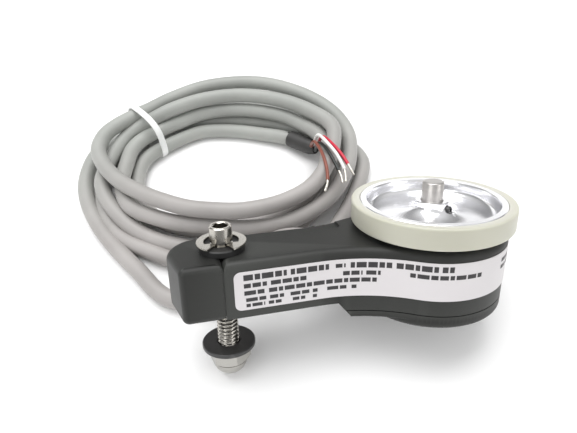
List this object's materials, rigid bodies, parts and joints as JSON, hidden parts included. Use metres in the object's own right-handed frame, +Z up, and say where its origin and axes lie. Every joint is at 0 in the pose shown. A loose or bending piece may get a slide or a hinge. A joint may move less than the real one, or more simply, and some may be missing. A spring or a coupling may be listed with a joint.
{
  "type": "measuring wheel rotary encoder",
  "caption": "Spring-loaded measuring-wheel rotary encoder: a moulded arm on a threaded pivot axle, a tyred wheel on the encoder shaft and a coiled, tied cable with bare leads.",
  "frame": {"origin": "middle of the encoder's own bounding box, cable left out, on the table it lies on", "axes": "+X along the arm from the pivot axle to the wheel, level; +Y towards the coiled cable behind; +Z up from the table. The pivot and wheel axes lean back 28 degrees from +Z."},
  "size_m": [0.1402, 0.1427, 0.0492],
  "materials": {
    "housing_plastic": "moulded, satin",
    "black_plastic": "satin",
    "black_washer": "black oxide",
    "bright_steel": "bright nickel plate",
    "aluminium": "fine turned",
    "urethane": "translucent, satin",
    "rubber": "matt",
    "disc_glass": "polished",
    "board_green": "solder mask",
    "label_white": "matt print",
    "connector_white": "moulded",
    "cable_grey": "satin jacket",
    "tie_white": "moulded",
    "wire_red": "satin insulation",
    "wire_white": "satin insulation",
    "wire_brown": "satin insulation",
    "wire_black": "satin insulation"
  },
  "bodies": {
    "arm": {"arm_housing": "housing_plastic", "end_cap": "housing_plastic", "bottom_cover": "housing_plastic", "upper_bush": "black_plastic", "lower_bush": "black_plastic", "optical_module": "black_plastic", "cap_dowel_front": "bright_steel", "cap_dowel_rear": "bright_steel", "cover_screw_1": "bright_steel", "cover_screw_2": "bright_steel", "cover_screw_3": "bright_steel", "cover_screw_4": "bright_steel", "upper_outer_race": "bright_steel", "lower_outer_race": "bright_steel", "board_post_1": "bright_steel", "board_post_2": "bright_steel", "board_post_3": "bright_steel", "board_screw_1": "bright_steel", "board_screw_2": "bright_steel", "board_screw_3": "bright_steel", "bearing_carrier": "aluminium", "cover_seal": "rubber", "shaft_seal": "rubber", "cable_gland": "rubber", "heat_shrink_sleeve": "rubber", "circuit_board": "board_green", "side_label": "label_white", "board_connector": "connector_white", "inner_lead": "cable_grey", "cable_lead": "cable_grey", "cable_loose_turn": "cable_grey", "cable_coil": "cable_grey", "cable_tail": "cable_grey", "cable_tie": "tie_white", "wire_red": "wire_red", "wire_white": "wire_white", "wire_brown": "wire_brown", "wire_black": "wire_black"},
    "wheel": {"encoder_shaft": "bright_steel", "upper_inner_race": "bright_steel", "lower_inner_race": "bright_steel", "disc_hub": "aluminium", "code_disc": "disc_glass", "wheel_hub": "aluminium", "tyre": "urethane", "wheel_set_screw_1": "bright_steel", "wheel_set_screw_2": "bright_steel"},
    "upper_balls": {"upper_ball_cage": "bright_steel"},
    "lower_balls": {"lower_ball_cage": "bright_steel"},
    "pivot": {"pivot_axle": "bright_steel", "retaining_ring": "bright_steel", "clamp_washer": "black_washer", "dome_nut": "bright_steel", "spring_collar": "bright_steel", "torsion_spring": "bright_steel"}
  },
  "joints": [
    {"name": "wheel_spin", "type": "hinge", "parent": "arm", "child": "wheel", "pos_m": [0.02765, 0.00118, 0.028], "axis": [0.0827, 0.4695, 0.8791], "continuous": true},
    {"name": "upper_balls_roll", "type": "hinge", "parent": "arm", "child": "upper_balls", "pos_m": [0.02765, 0.00118, 0.028], "axis": [0.0827, 0.4695, 0.8791], "continuous": true},
    {"name": "lower_balls_roll", "type": "hinge", "parent": "arm", "child": "lower_balls", "pos_m": [0.02686, -0.00328, 0.01964], "axis": [0.0827, 0.4695, 0.8791], "continuous": true},
    {"name": "torsion_pivot", "type": "hinge", "parent": "arm", "child": "pivot", "pos_m": [-0.03738, -0.00511, 0.02223], "axis": [0.0827, 0.4695, 0.8791], "range_deg": [-30, 30], "stiffness_Nm_per_rad": 1.2}
  ],
  "couplings": [
    {"joint": "upper_balls_roll", "follows": "wheel_spin", "ratio": 0.396},
    {"joint": "lower_balls_roll", "follows": "wheel_spin", "ratio": 0.396}
  ]
}
